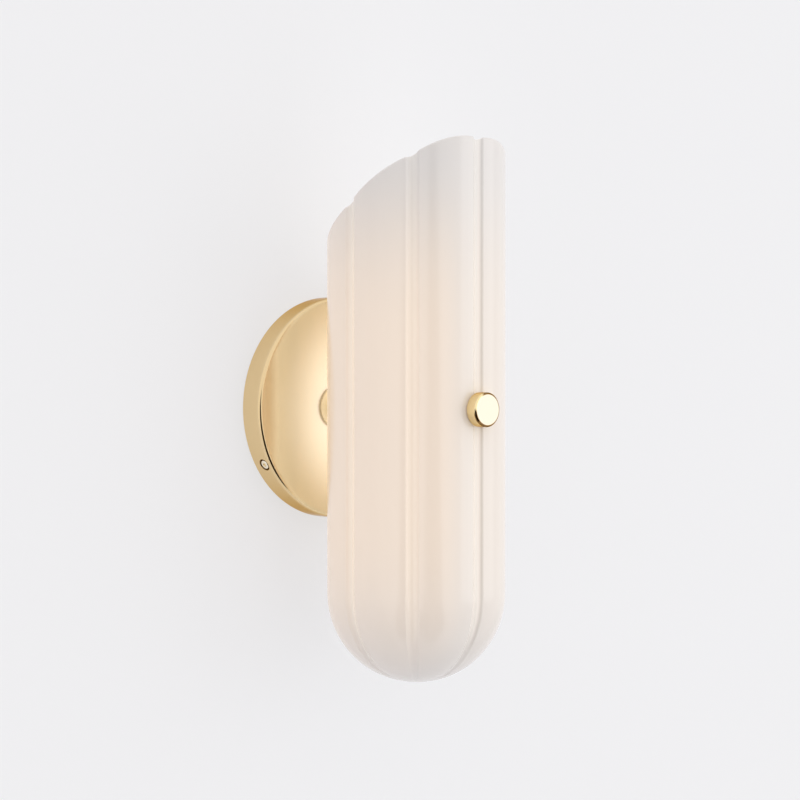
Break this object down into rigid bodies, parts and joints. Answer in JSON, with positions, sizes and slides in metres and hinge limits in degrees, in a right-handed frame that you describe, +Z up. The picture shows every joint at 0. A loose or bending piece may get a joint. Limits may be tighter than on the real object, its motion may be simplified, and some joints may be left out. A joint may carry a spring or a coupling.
{
  "type": "wall sconce",
  "caption": "Wall light: a round brass canopy and arm carry a fluted opal glass tube with a round bottom and slanted open top, held by a front knob and lit by lamps above and below the arm.",
  "frame": {"origin": "centre of the canopy's back edge, on the wall", "axes": "+Y goes into the wall, +Z is up, +X is to the right of someone who faces the wall"},
  "size_m": [0.12, 0.1232, 0.2798],
  "materials": {
    "polished_brass": "polished, clear lacquer",
    "zinc_steel": "zinc plated",
    "earth_brass": "plain",
    "opal_glass": "glossy opal white, translucent",
    "frosted_glass": "frosted",
    "lamp_emitter": "matte",
    "holder_ceramic": "matte",
    "contact_bronze": "plain",
    "terminal_plastic": "matte",
    "lamp_plastic": "satin",
    "seal": "matte",
    "wire_jacket": "satin"
  },
  "bodies": {
    "base": {"canopy": "polished_brass", "wall_plate": "zinc_steel", "rim_screws": "polished_brass", "terminal_block": "terminal_plastic", "terminal_screws": "zinc_steel", "block_screw": "zinc_steel", "earth_screw": "earth_brass", "earth_washer": "earth_brass", "threaded_nipple": "zinc_steel", "nipple_nut": "zinc_steel", "nipple_washer": "zinc_steel", "collar": "polished_brass", "rear_gasket": "seal", "arm_tube": "polished_brass", "lamp_carrier": "polished_brass", "lampholder_screws": "zinc_steel", "upper_lampholder": "holder_ceramic", "lower_lampholder": "holder_ceramic", "upper_contacts": "contact_bronze", "lower_contacts": "contact_bronze", "upper_wires": "wire_jacket", "lower_wires": "wire_jacket", "front_rod": "zinc_steel", "rod_lock_nut": "zinc_steel", "glass_stop_nut": "zinc_steel", "inner_gasket": "seal", "glass_shade": "opal_glass"},
    "knob_washer": {"knob_gasket": "seal"},
    "knob": {"knob": "polished_brass"},
    "upper_lamp": {"upper_lamp_base": "lamp_plastic", "upper_lamp_pins": "zinc_steel", "upper_lamp_globe": "frosted_glass", "upper_lamp_core": "lamp_emitter"},
    "lower_lamp": {"lower_lamp_base": "lamp_plastic", "lower_lamp_pins": "zinc_steel", "lower_lamp_globe": "frosted_glass", "lower_lamp_core": "lamp_emitter"}
  },
  "joints": [
    {"name": "knob_travel", "type": "slide", "parent": "base", "child": "knob_washer", "axis": [0, -1, 0], "range_m": [0, 0.0038]},
    {"name": "knob_turn", "type": "hinge", "parent": "knob_washer", "child": "knob", "pos_m": [0, -0.1171, 0], "axis": [0, -1, 0], "range_deg": [0, 1368.1]},
    {"name": "upper_lamp_pull", "type": "slide", "parent": "base", "child": "upper_lamp", "axis": [0, 0, 1], "range_m": [0, 0.125]},
    {"name": "lower_lamp_pull", "type": "slide", "parent": "base", "child": "lower_lamp", "axis": [0, 0, -1], "range_m": [0, 0.0145]}
  ],
  "couplings": [
    {"joint": "knob_turn", "follows": "knob_travel", "rad_per_m": 6283.2}
  ]
}
